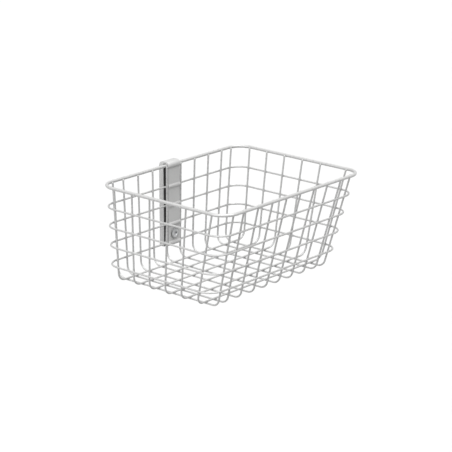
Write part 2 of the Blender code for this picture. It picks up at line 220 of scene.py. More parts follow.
class BasketFinish(bpy.types.PropertyGroup):
    """Colours and finish."""

    coat: tint("Coat", "Powder coat of the wires", (0.240, 0.240, 0.238))
    bracket_coat: tint("Bracket coat", "Powder coat of the bracket", (0.255, 0.255, 0.253))
    # The pad's near-black rubber also stands in for the deep shade of the slot: partly painted
    # shade.
    rubber: tint("Rubber", "Colour of the pad", (0.007, 0.007, 0.007))
    steel: tint("Steel", "Plated steel of the screw", (0.50, 0.505, 0.51))
    coat_roughness: FloatProperty(name="Coat roughness", description="Mean roughness",
                                  default=0.28, min=0.0, max=1.0, subtype="FACTOR")


class StageSettings(bpy.types.PropertyGroup):
    """Camera, floor and light."""

    azimuth: slope("Azimuth", "Camera round the basket", -48.47)
    elevation: slope("Elevation", "Camera above the horizon", 17.40)
    distance: length("Distance", "Camera to its target", 2.2606)
    target: FloatVectorProperty(name="Target", description="Point the camera looks at",
                                default=(0.0040, -0.0978, -0.0093), size=3,
                                subtype="TRANSLATION", unit="LENGTH", precision=5)
    lens: FloatProperty(name="Lens", description="Focal length", default=147.91,
                        subtype="DISTANCE_CAMERA")
    floor_drop: length("Floor drop", "Floor below the hanging basket", 0.60)
    floor_size: length("Floor size", "Side of the floor", 60.0)
    floor_tone: FloatProperty(name="Floor tone", description="Pale grey of the floor",
                              default=0.328, min=0.0, max=1.0)
    dome: FloatProperty(name="Dome", description="Even light from all round", default=0.60)
    overhead: FloatProperty(name="Overhead", description="Soft light from above", default=7.0)
    overhead_tilt: slope("Overhead tilt", "How far it comes from the front", 17.0)
    overhead_spread: slope("Overhead spread", "Softness of the overhead light", 60.0)
    side: FloatProperty(name="Side", description="Soft light from the left", default=3.6)
    side_tilt: slope("Side tilt", "Its angle from straight above", 70.0)
    side_spread: slope("Side spread", "Softness of the side light", 60.0)
    exposure: FloatProperty(name="Exposure", description="Exposure in stops", default=0.0)


def plan(scene):
    """Derived lines of the basket in the row frame, from the sizes."""
    b, k = scene.basket_sizes, scene.bracket_sizes
    p = SimpleNamespace(b=b, k=k)
    p.layer = b.mesh_wire + b.weld_gap
    p.back = -(k.slot_behind + k.rear_leg)
    p.ring_drops = [b.first_ring + n * b.ring_pitch for n in range(b.ring_count)]
    p.front_foot = -p.ring_drops[-1] - k.front_foot
    p.rear_foot = -p.ring_drops[-1] - k.rear_foot
    p.face_top = k.arch_rise - k.arch_radius
    p.lift = -(p.face_top + p.rear_foot) / 2
    p.side_rim = b.rim_length / 2 - b.rim_wire / 2 - b.rim_outside
    p.width_rim = b.rim_width - b.rim_wire - 2 * b.rim_outside
    p.cross_floor = -b.floor_depth
    p.long_floor = p.cross_floor + p.layer
    p.leg_inner = k.slot_behind - k.slot_width
    p.leg_outer = p.leg_inner - k.front_leg
    p.screw_height = -(p.ring_drops[-1] - b.ring_pitch / 2)
    return p


def side_at(p, h):
    """Half length of the ring line at height h: rim value plus h times the lean's tangent."""
    return p.side_rim + math.tan(p.b.side_lean) * h


def back_at(p, h):
    """Y of the back ring line at height h: it leans out a little as h goes down."""
    return p.back + math.tan(p.b.back_lean) * h


def front_at(p, h):
    """Y of the front ring line at height h: it leans in as h goes down."""
    return p.back - p.width_rim - math.tan(p.b.front_lean) * h


def arc(centre, radius, start, end, steps):
    """Circle points: centre plus radius times (cos, sin) of evenly spaced angles."""
    turn = np.linspace(start, end, steps + 1)
    return np.stack([centre[0] + radius * np.cos(turn), centre[1] + radius * np.sin(turn)], 1)


def unit(vectors):
    """The same vectors at a length of one: each over the root of its summed squares."""
    return vectors / np.linalg.norm(vectors, axis=-1, keepdims=True)


def fillet(before, corner, after, radius, steps):
    """Arc tangent to both runs: its centre is on the bisector, radius / sin(half angle) away."""
    corner = np.asarray(corner, float)
    one, two = unit(before - corner), unit(after - corner)
    half = math.acos(float(np.clip(one @ two, -1, 1))) / 2
    centre = corner + unit(one + two) * radius / math.sin(half)
    first = corner + one * radius / math.tan(half) - centre
    last = corner + two * radius / math.tan(half) - centre
    start = math.atan2(first[1], first[0])
    cross = first[0] * last[1] - first[1] * last[0]
    turn = math.atan2(cross, float(first @ last))
    return arc(centre, radius, start, start + turn, steps)


def even(points, spacing, closed):
    """The same line with its points evenly spaced: coordinates interpolated on arc length."""
    points = np.asarray(points, float)
    if closed:
        points = np.vstack([points, points[:1]])
    run = np.concatenate([[0.0], np.cumsum(np.linalg.norm(np.diff(points, axis=0), axis=1))])
    count = max(STEPS.least, int(round(run[-1] / spacing)))
    where = np.linspace(0.0, run[-1], count + 1)
    if closed:
        where = where[:-1]
    return np.stack([np.interp(where, run, points[:, axis]) for axis in range(3)], 1)


def ring_line(p, h, outset):
    """Rounded rectangle at height h, outset from the ring line: four quarter circles."""
    radius = p.b.corner_radius
    side = side_at(p, h) - radius
    back = back_at(p, h) - radius
    front = front_at(p, h) + radius
    centres = [(side, back), (-side, back), (-side, front), (side, front)]
    quarter = math.pi / 2
    flat = np.vstack([arc(c, radius + outset, n * quarter, (n + 1) * quarter, STEPS.corner)
                      for n, c in enumerate(centres)])
    return np.column_stack([flat, np.full(len(flat), h + p.lift)])


def end_below_rim(p, lean):
    """Where a leaning wire ends so that its outer edge just clears the round rim.

    The distance along the wire is the root of reach squared less the edge's offset squared.
    """
    b = p.b
    axis_in = p.layer / math.cos(lean) + b.rim_outside
    reach = b.rim_wire / 2 + b.weld_gap
    edge_in = axis_in * math.cos(lean) - b.mesh_wire / 2
    along = math.sqrt(reach ** 2 - edge_in ** 2) - axis_in * math.sin(lean)
    return axis_in + along * math.sin(lean), -along * math.cos(lean)


def hoop(p, near, far, floor):
    """U in a plane: down a wall, a fillet, along the floor, a fillet and up the other wall."""
    (near_end, near_foot), (far_end, far_foot) = near, far
    one, two = (near_foot, floor), (far_foot, floor)
    first = fillet(near_end, one, two, p.b.bend_radius, STEPS.bend)
    second = fillet(one, two, far_end, p.b.bend_radius, STEPS.bend)
    return np.vstack([[near_end], first, second, [far_end]])


def cross_places(p):
    """X of every cross wire at the rim and at the floor, as an array of pairs."""
    b = p.b
    inner = b.cross_count - 2
    offsets = np.arange(inner) - (inner - 1) / 2
    top_end = side_at(p, 0.0) - b.cross_inset_top
    floor_end = side_at(p, p.cross_floor) - b.cross_inset_floor
    top = np.concatenate([[-top_end], offsets * b.cross_pitch_top, [top_end]])
    floor = np.concatenate([[-floor_end], offsets * b.cross_pitch_floor, [floor_end]])
    return np.stack([top, floor], 1)


def long_places(p):
    """Y of every long wire at the rim and at the floor, as an array of pairs."""
    b = p.b
    steps = np.arange(b.long_count - 1)
    top = p.back - b.long_back_top - steps * b.long_pitch_top
    floor = p.back - b.long_back_floor - steps * b.long_pitch_floor
    top = np.append(top, front_at(p, 0.0) + b.long_front_top)
    floor = np.append(floor, front_at(p, p.long_floor) + b.long_front_floor)
    return np.stack([top, floor], 1)


def cross_section(p):
    """Side view of every cross wire as (y, height)."""
    b = p.b
    inset, drop = end_below_rim(p, b.back_lean)
    back_end = (p.back + b.rim_outside - inset, drop)
    inset, drop = end_below_rim(p, b.front_lean)
    front_end = (front_at(p, 0.0) - b.rim_outside + inset, drop)
    front_foot = front_at(p, p.cross_floor) + p.layer / math.cos(b.front_lean)
    back_foot = back_at(p, p.cross_floor) - p.layer / math.cos(b.back_lean)
    return hoop(p, (back_end, back_foot), (front_end, front_foot), p.cross_floor)


def long_section(p):
    """Front view of every long wire as (x, height)."""
    inset, drop = end_below_rim(p, p.b.side_lean)
    end = side_at(p, 0.0) + p.b.rim_outside - inset
    foot = side_at(p, p.long_floor) - p.layer / math.cos(p.b.side_lean)
    return hoop(p, ((-end, drop), -foot), ((end, drop), foot), p.long_floor)


def at_height(places, h, floor_height):
    """Place of a wire at height h: it goes evenly from the rim's to the floor's."""
    top, floor = places
    return top + (floor - top) * h / floor_height


def cross_line(p, number):
    """Centre line of a cross wire: its side view, with x going evenly from rim to floor."""
    y, h = cross_section(p).T
    x = at_height(cross_places(p)[number], h, p.cross_floor)
    return np.column_stack([x, y, h + p.lift])


def long_line(p, number):
    """Centre line of a long wire: its front view, with y going evenly from rim to floor."""
    x, h = long_section(p).T
    y = at_height(long_places(p)[number], h, p.long_floor)
    return np.column_stack([x, y, h + p.lift])


def crossings(p):
    """Every weld as (place, direction of one wire, direction of the other)."""
    b = p.b
    spots = []
    along_x, along_y = np.array([1.0, 0, 0]), np.array([0, 1.0, 0])
    down_back = np.array([0.0, math.sin(b.back_lean), math.cos(b.back_lean)])
    down_front = np.array([0.0, -math.sin(b.front_lean), math.cos(b.front_lean)])
    half = p.layer / 2
    for drop in p.ring_drops:
        height = p.lift - drop
        front = front_at(p, -drop) + half / math.cos(b.front_lean)
        back = back_at(p, -drop) - half / math.cos(b.back_lean)
        side = side_at(p, -drop) - half / math.cos(b.side_lean)
        for places in cross_places(p):
            x = at_height(places, -drop, p.cross_floor)
            spots += [((x, back, height), along_x, down_back),
                      ((x, front, height), along_x, down_front)]
        for places in long_places(p):
            y = at_height(places, -drop, p.long_floor)
            for hand in (-1, 1):
                down = np.array([hand * math.sin(b.side_lean), 0.0, math.cos(b.side_lean)])
                spots.append(((hand * side, y, height), along_y, down))
    middle = p.lift + (p.cross_floor + p.long_floor) / 2
    for x in cross_places(p)[:, 1]:
        spots += [((x, y, middle), along_x, along_y) for y in long_places(p)[:, 1]]
    return spots


def rim_ends(p):
    """Every wire end under the rim as (place, direction of the rim, direction of the wire)."""
    sets = ((cross_line, p.b.cross_count, (1.0, 0.0, 0.0)),
            (long_line, p.b.long_count, (0.0, 1.0, 0.0)))
    ends = []
    for line_of, count, along in sets:
        for number in range(count):
            line = line_of(p, number)
            for end, inner in ((line[0], line[1]), (line[-1], line[-2])):
                ends.append((end, np.array(along), end - inner))
    return ends


def nearness(points, spots, reach):
    """Bell curve of the distance to the nearest spot, 1 at a weld and 0 far from it."""
    apart = np.linalg.norm(points[:, None, :] - np.asarray(spots)[None, :, :], axis=2).min(1)
    return np.exp(-(apart / reach) ** 2)


def round_faces(rows, sides, closed=False):
    """Quads between the rows of a grid that goes round, and fans to both poles of an open one.

    Corner (row, side) has the number row * sides + side, and the poles come after the last row.
    """
    here = np.arange(rows if closed else rows - 1)[:, None] * sides
    ahead = (here + sides) % (rows * sides)
    side = np.arange(sides)
    beside = (side + 1) % sides
    quads = np.stack([here + side, here + beside, ahead + beside, ahead + side], 2)
    faces = quads.reshape(-1, 4).tolist()
    if not closed:
        pole, end = np.full(sides, rows * sides), (rows - 1) * sides
        faces += np.stack([pole, beside, side], 1).tolist()
        faces += np.stack([pole + 1, end + side, end + beside], 1).tolist()
    return faces


def sweep(line, radius, across, sides, closed):
    """Round tube: each point of the line plus radius times (cos, sin) round two unit vectors.

    The first vector is the line's direction crossed with across, the second completes the set.
    An open tube ends in half ellipsoids, END_DEPTH times as deep as its radius, with a pole.
    """
    if closed:
        ahead = np.roll(line, -1, 0) - np.roll(line, 1, 0)
    else:
        ahead = np.gradient(line, axis=0)
    ahead = unit(ahead)
    poles = np.empty((0, 3))
    if not closed:
        bow, rows = END_ANGLES, len(END_ANGLES)
        first, last = ahead[0] * radius[0] * END_DEPTH, ahead[-1] * radius[-1] * END_DEPTH
        poles = np.stack([line[0] - first, line[-1] + last])
        line = np.vstack([line[0] - first * np.sin(bow[::-1])[:, None], line,
                          line[-1] + last * np.sin(bow)[:, None]])
        ahead = np.vstack([np.repeat(ahead[:1], rows, 0), ahead, np.repeat(ahead[-1:], rows, 0)])
        radius = np.concatenate([radius[0] * np.cos(bow[::-1]), radius, radius[-1] * np.cos(bow)])
    one = unit(np.cross(ahead, across))
    two = np.cross(one, ahead)
    turn = np.linspace(0, 2 * math.pi, sides, endpoint=False)[None, :, None]
    circle = np.cos(turn) * one[:, None] + np.sin(turn) * two[:, None]
    grid = line[:, None] + circle * radius[:, None, None]
    verts = np.vstack([grid.reshape(-1, 3), poles])
    return verts, face_out(verts, round_faces(len(line), sides, closed))


def shade_smooth(mesh, sharp_above=None):
    """Smooth shading, with the edges above an angle kept sharp."""
    mesh.polygons.foreach_set("use_smooth", np.full(len(mesh.polygons), True))
    if sharp_above is not None:
        mesh.set_sharp_from_angle(angle=sharp_above)


def new_mesh(name, verts, faces, sharp_above=None):
    """Smooth-shaded mesh from arrays."""
    mesh = bpy.data.meshes.new(name)
    mesh.from_pydata(np.asarray(verts).tolist(), [], faces)
    mesh.update()
    shade_smooth(mesh, sharp_above)
    return mesh


def face_out(verts, faces):
    """Turn all faces round where the signed volume is negative.

    The volume is the sum of the triple products of each face's first three corners.
    """
    corners = np.array([face[:3] for face in faces])
    a, b, c = (verts - verts.mean(0))[corners].transpose(1, 0, 2)
    if np.sum(a * np.cross(b, c)) < 0:
        return [face[::-1] for face in faces]
    return faces


def new_object(name, data):
    """Object in the scene for a mesh, a lamp or a camera."""
    made = bpy.data.objects.new(name, data)
    bpy.context.scene.collection.objects.link(made)
    return made


def place(mesh, name, material, replaced=()):
    """Object for a finished mesh, with its material, its body and the solids it stands for."""
    piece = new_object(name, mesh)
    mesh.materials.clear()
    mesh.materials.append(material)
    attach(piece, BODY)
    if replaced:
        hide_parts(*replaced)
        check_fit(piece, replaced)


def check_fit(piece, nodes):
    """Stop if a piece isn't where the solids that it stands for are."""
    corners = np.empty(len(piece.data.vertices) * 3, np.float32)
    piece.data.vertices.foreach_get("co", corners)
    corners = corners.reshape(-1, 3)
    lows, highs = zip(*(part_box(node) for node in nodes))
    off = max(np.abs(corners.min(0) - np.min(lows, 0)).max(),
              np.abs(corners.max(0) - np.max(highs, 0)).max())
    if off > FIT_LIMIT:
        raise RuntimeError(f"{piece.name} is {off * 1000:.2f} mm off its solid")


def float_attribute(mesh, name, values):
    """Number for each vertex, which a material can read."""
    layer = mesh.attributes.new(name, "FLOAT", "POINT")
    layer.data.foreach_set("value", np.asarray(values, np.float32))


def wire_piece(scene, p, name, node, line, thickness, facets, across, closed, spots):
    """One coated wire, a little thicker where the coat gathers at its welds."""
    line = even(line, p.b.spacing, closed)
    radius = thickness / 2 + p.b.weld_swell * nearness(line, spots, p.b.weld_reach)
    verts, faces = sweep(line, radius, across, facets, closed)
    mesh = new_mesh(name, verts, faces)
    float_attribute(mesh, "weld", nearness(verts, spots, p.b.weld_reach * BEAD.tone_reach))
    place(mesh, name, coat_material(scene), (node,))


def mesh_wires(scene, p, stem, digits, lines, across, closed=False):
    """Numbered thin wires along their lines, thicker where they cross."""
    spots = [spot for spot, _, _ in crossings(p)]
    for number, line in enumerate(lines, 1):
        tag = f"{number:0{digits}d}"
        wire_piece(scene, p, f"{stem}_{tag}", f"{stem}_wire_{tag}", line, p.b.mesh_wire,
                   p.b.wire_sides, across, closed, spots)


def socket(node, name, value):
    """Set a constant on a node's own socket."""
    node.inputs[name].default_value = value


def new_material(name, colour, roughness, metallic, gloss):
    """Material with a Principled shader, and its tree, shader and object coordinates."""
    material = bpy.data.materials.new(name)
    material.use_nodes = True
    tree = material.node_tree
    shader = tree.nodes["Principled BSDF"]
    socket(shader, "Base Color", (*colour, 1.0))
    socket(shader, "Roughness", roughness)
    socket(shader, "Metallic", metallic)
    socket(shader, "Specular IOR Level", gloss)
    coords = tree.nodes.new("ShaderNodeTexCoord")
    return material, tree, shader, coords.outputs["Object"]


def noise(tree, coords, pattern):
    """Noise factor of a pattern, given as (features per metre, detail)."""
    node = tree.nodes.new("ShaderNodeTexNoise")
    socket(node, "Scale", pattern[0])
    socket(node, "Detail", pattern[1])
    tree.links.new(coords, node.inputs["Vector"])
    return node.outputs["Fac"]


def remap(tree, value, low, high, from_low=0.3, from_high=0.7):
    """Value spread evenly from one range to another."""
    node = tree.nodes.new("ShaderNodeMapRange")
    socket(node, "From Min", from_low)
    socket(node, "From Max", from_high)
    socket(node, "To Min", low)
    socket(node, "To Max", high)
    tree.links.new(value, node.inputs["Value"])
    return node.outputs["Result"]


def patches(tree, coords, pattern, low=0.0, high=1.0):
    """Noise spread evenly from low to high."""
    return remap(tree, noise(tree, coords, pattern), low, high)


def own_values(tree, name):
    """The number that each vertex carries under a name."""
    node = tree.nodes.new("ShaderNodeAttribute")
    node.attribute_name = name
    return node.outputs["Fac"]


def axes_of(tree, vector):
    """The three axes of a vector."""
    node = tree.nodes.new("ShaderNodeSeparateXYZ")
    tree.links.new(vector, node.inputs["Vector"])
    return node.outputs


def maths(tree, operation, one, two=0.0):
    """One maths node on values, numbers or both."""
    node = tree.nodes.new("ShaderNodeMath")
    node.operation = operation
    for entry, value in zip(node.inputs, (one, two)):
        if isinstance(value, float):
            entry.default_value = value
        else:
            tree.links.new(value, entry)
    return node.outputs["Value"]


def blend_colour(tree, factor, one, two):
    """Mix of two colours, each a constant or a link."""
    node = tree.nodes.new("ShaderNodeMix")
    node.data_type = "RGBA"
    tree.links.new(factor, node.inputs["Factor"])
    for entry, value in ((node.inputs["A"], one), (node.inputs["B"], two)):
        if isinstance(value, tuple):
            entry.default_value = value
        else:
            tree.links.new(value, entry)
    return node.outputs["Result"]


def connect(tree, shader, tone, dull, layers):
    """Join the tone, the roughness and a chain of bumps, each (height, depth in metres)."""
    tree.links.new(tone, shader.inputs["Base Color"])
    tree.links.new(dull, shader.inputs["Roughness"])
    last = None
    for height, depth in layers:
        node = tree.nodes.new("ShaderNodeBump")
        socket(node, "Strength", 1.0)
        socket(node, "Distance", depth)
        tree.links.new(height, node.inputs["Height"])
        if last:
            tree.links.new(last, node.inputs["Normal"])
        last = node.outputs["Normal"]
    tree.links.new(last, shader.inputs["Normal"])


def shade(colour, factor):
    """Colour scaled by a factor, as RGBA."""
    return (*(min(1.0, channel * factor) for channel in colour), 1.0)


def shades(colour, factors):
    """Colour scaled by each factor, as RGBA."""
    return [shade(colour, factor) for factor in factors]


def powder_coat(name, colour, roughness, gloss, edge_half_width=None):
    """Powder coat: orange peel, cloudy tone, duller and darker in the weld fillets.

    On the bracket the coat is thin and a little brighter along its long edges.
    """
    material, tree, shader, coords = new_material(name, colour, roughness, 0.0, gloss)
    tone = blend_colour(tree, patches(tree, coords, COAT.cloud), *shades(colour, COAT.cloud_tones))
    grain = maths(tree, "MULTIPLY", patches(tree, coords, COAT.grain), COAT.grain_share)
    tone = blend_colour(tree, grain, tone, shade(colour, COAT.grain_tone))
    gather = maths(tree, "MULTIPLY", own_values(tree, "weld"), COAT.weld_share)
    tone = blend_colour(tree, gather, tone, shade(colour, COAT.weld_tone))
    if edge_half_width:
        off = maths(tree, "ABSOLUTE", axes_of(tree, coords)["X"])
        edge = remap(tree, off, 0.0, 1.0, edge_half_width - COAT.wear_width, edge_half_width)
        worn = maths(tree, "MULTIPLY", edge, patches(tree, coords, COAT.wear, *COAT.wear_range))
        tone = blend_colour(tree, worn, tone, shade(colour, COAT.wear_tone))
    low, high = COAT.dull_range
    dull = patches(tree, coords, COAT.dull, roughness + low, roughness + high)
    dull = maths(tree, "ADD", dull, maths(tree, "MULTIPLY", gather, COAT.weld_dull))
    connect(tree, shader, tone, dull, [(noise(tree, coords, COAT.peel), COAT.peel_depth),
                                       (noise(tree, coords, COAT.fine_peel), COAT.fine_depth)])
    return material


def moulded_rubber(name, colour):
    """Matt rubber: fine grain, with chalky patches where it has been handled."""
    material, tree, shader, coords = new_material(name, colour, RUBBER.roughness, 0.0,
                                                  RUBBER.gloss)
    bloom = remap(tree, noise(tree, coords, RUBBER.bloom), *RUBBER.bloom_range)
    connect(tree, shader, blend_colour(tree, bloom, *shades(colour, RUBBER.tones)),
            patches(tree, coords, RUBBER.dull, *RUBBER.dull_range),
            [(noise(tree, coords, RUBBER.grain), RUBBER.grain_depth)])
    return material


def plated_steel(name, colour, centre):
    """Plated steel: fine turning rings about the screw's axis, cloudy plating, and oily dirt mixed
    with painted shade.

    The rings are the sine of the distance from the axis, the root of x squared plus z squared.
    """
    material, tree, shader, coords = new_material(name, colour, STEEL.roughness, 1.0,
                                                  STEEL.gloss)
    centred = tree.nodes.new("ShaderNodeMapping")
    socket(centred, "Location", (-centre[0], 0.0, -centre[2]))
    tree.links.new(coords, centred.inputs["Vector"])
    axes = axes_of(tree, centred.outputs["Vector"])
    squares = [maths(tree, "MULTIPLY", axes[axis], axes[axis]) for axis in ("X", "Z")]
    out = maths(tree, "SQRT", maths(tree, "ADD", *squares))
    rings = maths(tree, "SINE", maths(tree, "MULTIPLY", out, STEEL.rings))
    tone = blend_colour(tree, patches(tree, coords, STEEL.cloud), *shades(colour, STEEL.tones))
    # Painted shade with some dirt: darkens the socket, the shank and the foot of the head, where
    # shade falls.
    lodged_grime_and_shade = maths(tree, "MULTIPLY", own_values(tree, "grime_and_shade"),
                   patches(tree, coords, STEEL.grime_and_shade, *STEEL.grime_and_shade_range))
    connect(tree, shader, blend_colour(tree, lodged_grime_and_shade, tone, shade(colour, STEEL.grime_and_shade_tone)),
            patches(tree, coords, STEEL.dull, *STEEL.dull_range),
            [(rings, STEEL.ring_depth), (noise(tree, coords, STEEL.grain), STEEL.grain_depth)])
    return material


def coat_material(scene):
    """The wires' powder coat, made once."""
    finish = scene.basket_finish
    return bpy.data.materials.get("wire_powder_coat") or powder_coat(
        "wire_powder_coat", tuple(finish.coat), finish.coat_roughness, COAT.wire_gloss)


class BASKET_OT_rim(bpy.types.Operator):
    """Build the thick wire round the top"""

    bl_idname = "basket.rim"
    bl_label = "Rim"

    def execute(self, context):
        p = plan(context.scene)
        spots = [end for end, _, _ in rim_ends(p)]
        wire_piece(context.scene, p, "rim", "rim_wire", ring_line(p, 0.0, p.b.rim_outside),
                   p.b.rim_wire, p.b.rim_sides, (0, 0, 1), True, spots)
        return {"FINISHED"}


class BASKET_OT_rings(bpy.types.Operator):
    """Build the thin rings round the walls"""

    bl_idname = "basket.rings"
    bl_label = "Rings"

    def execute(self, context):
        p = plan(context.scene)
        lines = [ring_line(p, -drop, 0.0) for drop in p.ring_drops]
        mesh_wires(context.scene, p, "ring", 1, lines, (0, 0, 1), closed=True)
        return {"FINISHED"}


class BASKET_OT_cross_wires(bpy.types.Operator):
    """Build the wires that run across, lowest on the floor"""

    bl_idname = "basket.cross_wires"
    bl_label = "Cross wires"

    def execute(self, context):
        p = plan(context.scene)
        lines = [cross_line(p, number) for number in range(p.b.cross_count)]
        mesh_wires(context.scene, p, "cross", 2, lines, (1, 0, 0))
        return {"FINISHED"}


class BASKET_OT_long_wires(bpy.types.Operator):
    """Build the wires that run along, on top of the cross wires"""

    bl_idname = "basket.long_wires"
    bl_label = "Long wires"

    def execute(self, context):
        p = plan(context.scene)
        lines = [long_line(p, number) for number in range(p.b.long_count)]
        mesh_wires(context.scene, p, "long", 1, lines, (0, 1, 0))
        return {"FINISHED"}


def beads(spots, reach, thick):
    """Weld beads: flattened balls, one for each spot, as one set of closed surfaces.

    Each is the spot plus latitude and longitude terms along its two wires and their normal,
    with the outline pulled towards the wires by a four-lobed cosine.
    """
    tilt = np.linspace(0, math.pi, BEAD.rows + 2)[1:-1]
    turn = np.linspace(0, 2 * math.pi, BEAD.sides, endpoint=False)
    lobes = 1 + BEAD.lobe_depth * np.cos(BEAD.lobes * turn)
    width = (np.sin(tilt) / np.sin(tilt).max())[:, None]
    rise = np.repeat(np.cos(tilt)[:, None], BEAD.sides, 1)
    ball = np.stack([width * np.cos(turn) * lobes, width * np.sin(turn) * lobes, rise], 2)
    ball = np.vstack([ball.reshape(-1, 3), [[0, 0, 1], [0, 0, -1]]])
    faces = face_out(ball, round_faces(BEAD.rows, BEAD.sides))
    spot, one, two = (np.array(column) for column in zip(*spots))
    one, two = unit(one), unit(two)
    axes = np.stack([one * reach, two * reach, unit(np.cross(one, two)) * thick], 1)
    verts = spot[:, None] + np.einsum("vk,skc->svc", ball, axes)
    shifted = [[corner + number * len(ball) for corner in face]
               for number in range(len(spots)) for face in faces]
    return verts.reshape(-1, 3), shifted


class BASKET_OT_welds(bpy.types.Operator):
    """Build the weld beads at the crossings and under the rim"""

    bl_idname = "basket.welds"
    bl_label = "Weld beads"

    def execute(self, context):
        p = plan(context.scene)
        b = p.b
        for name, spots, reach, thickness in (
                ("weld_beads", crossings(p), 1.0, BEAD.crossing_thickness),
                ("rim_weld_beads", rim_ends(p), BEAD.rim_reach, BEAD.rim_thickness)):
            verts, faces = beads(spots, b.bead_reach * reach, b.mesh_wire * thickness)
            mesh = new_mesh(name, verts, faces)
            float_attribute(mesh, "weld", np.ones(len(verts)))
            place(mesh, name, coat_material(context.scene))
        return {"FINISHED"}


def prism_faces(count):
    """Walls between two equal outlines of count points, and a cap on each."""
    step = np.arange(count)
    ahead = (step + 1) % count
    walls = np.stack([step, ahead, ahead + count, step + count], 1).tolist()
    return walls + [step[::-1].tolist(), (step + count).tolist()]


def outline_prism(name, outline, half_width):
    """Straight prism: the closed outline in (y, height) at plus and minus half the width."""
    y, z = outline.T
    sides = [np.column_stack([np.full(len(y), x), y, z]) for x in (-half_width, half_width)]
    faces = prism_faces(len(y))
    if np.sum(y * np.roll(z, -1) - np.roll(y, -1) * z) < 0:
        faces = [face[::-1] for face in faces]
    return new_mesh(name, np.vstack(sides), faces)


def bracket_outline(p):
    """Side view of the bracket: front face with its beads, curl, arch, rear leg and slot.

    A bead is a circle about a ring's centre, joined to the flat by a small fillet on each side;
    the curl and the arch are two circles with their common tangent.
    """
    b, k = p.b, p.k
    heights = [-drop for drop in reversed(p.ring_drops)]
    groove = b.mesh_wire / 2 + k.seat_gap
    bead = groove + k.bead_wall
    hook = b.rim_wire / 2 + k.seat_gap
    curl = hook + k.hook_wall
    fillet_y = p.leg_outer - k.bead_fillet
    rise = math.sqrt((bead + k.bead_fillet) ** 2 - fillet_y ** 2)
    meet = math.atan2(rise, fillet_y)
    full = 2 * math.pi

    parts = [[(-math.sqrt(bead ** 2 - k.front_foot ** 2), p.front_foot)]]
    for number, height in enumerate(heights):
        lower = arc((fillet_y, height - rise), k.bead_fillet, 0.0, math.pi - meet, STEPS.fillet)
        crown = arc((0.0, height), bead, full - meet, meet, STEPS.bead)[1:-1]
        upper = arc((fillet_y, height + rise), k.bead_fillet, meet - math.pi, 0.0, STEPS.fillet)
        run = np.vstack([lower, crown, upper])
        if number == 0:
            run = run[run[:, 1] > p.front_foot + k.bead_fillet / 2]
        parts.append(run)
    arch = np.array([k.slot_behind + k.rear_leg - k.arch_radius, p.face_top])
    between = arch - np.array([b.rim_outside, 0.0])
    apart = math.acos((curl - k.arch_radius) / float(np.linalg.norm(between)))
    join = math.atan2(between[1], between[0]) + apart
    foot = math.acos((p.leg_outer - b.rim_outside) / curl)
    lip = math.acos((p.leg_inner - b.rim_outside) / hook)
    parts += [arc((b.rim_outside, 0.0), curl, full - foot, join, STEPS.curl),
              arc(arch, k.arch_radius, join, 0.0, STEPS.arch),
              [(k.slot_behind + k.rear_leg, p.rear_foot), (k.slot_behind, p.rear_foot)],
              arc((k.slot_behind - hook, 0.0), hook, 0.0, math.pi / 2, STEPS.hook_top),
              arc((b.rim_outside, 0.0), hook, math.pi / 2, full - lip, STEPS.hook)]
    for height in reversed(heights):
        ring_y = back_at(p, height) - p.back
        edge = math.acos((p.leg_inner - ring_y) / groove)
        parts.append(arc((ring_y, height), groove, edge, full - edge, STEPS.groove))
    parts.append([(p.leg_inner, p.front_foot)])
    outline = np.vstack([np.asarray(part, float) for part in parts])
    return outline + np.array([p.back, p.lift])


def bracket_half_width(p):
    """Half width that leaves the side gap to the cross wires at the front leg's foot."""
    beside = at_height(cross_places(p)[p.b.cross_count // 2], p.front_foot, p.cross_floor)
    return beside - p.b.mesh_wire / 2 - p.k.side_gap


def bore_cutter(p):
    """Closed cylinder along Y through the bracket: a circle at two places along the axis."""
    turn = np.linspace(0, 2 * math.pi, BORE_SIDES, endpoint=False)
    radius = (p.k.shank + p.k.hole_clearance) / 2
    ends = [np.column_stack([radius * np.cos(turn), np.full(BORE_SIDES, y),
                             radius * np.sin(turn) + p.lift + p.screw_height])
            for y in (p.back - BORE_REACH, p.back + BORE_REACH)]
    verts = np.vstack(ends)
    return new_mesh("bore_cutter", verts, face_out(verts, prism_faces(BORE_SIDES)))


def bored_and_rounded(p, mesh):
    """The prism with the screw's way cut through it and its sharp edges rounded."""
    work = new_object("work", mesh)
    cutter = new_object("cutter", bore_cutter(p))
    cut = work.modifiers.new("bore", "BOOLEAN")
    cut.operation = "DIFFERENCE"
    cut.solver = "EXACT"
    cut.object = cutter
    soft = work.modifiers.new("edges", "BEVEL")
    soft.width = p.k.edge_round
    soft.segments = ROUND_SEGMENTS
    soft.limit_method = "ANGLE"
    soft.angle_limit = ROUND_ABOVE
    bpy.context.view_layer.update()
    graph = bpy.context.evaluated_depsgraph_get()
    result = bpy.data.meshes.new_from_object(work.evaluated_get(graph))
    for each in (work, cutter):
        bpy.data.objects.remove(each)
    shade_smooth(result, SHARP_ABOVE)
    return result


class BASKET_OT_bracket(bpy.types.Operator):
    """Build the bracket that hooks over the rim"""

    bl_idname = "basket.bracket"
    bl_label = "Hanger bracket"

    def execute(self, context):
        p = plan(context.scene)
        half = bracket_half_width(p)
        mesh = bored_and_rounded(p, outline_prism("hanger", bracket_outline(p), half))
        finish = context.scene.basket_finish
        material = powder_coat("bracket_powder_coat", tuple(finish.bracket_coat),
                               finish.coat_roughness + COAT.bracket_duller,
                               COAT.bracket_gloss, half)
        place(mesh, "hanger", material, ("hanger_bracket",))
        return {"FINISHED"}


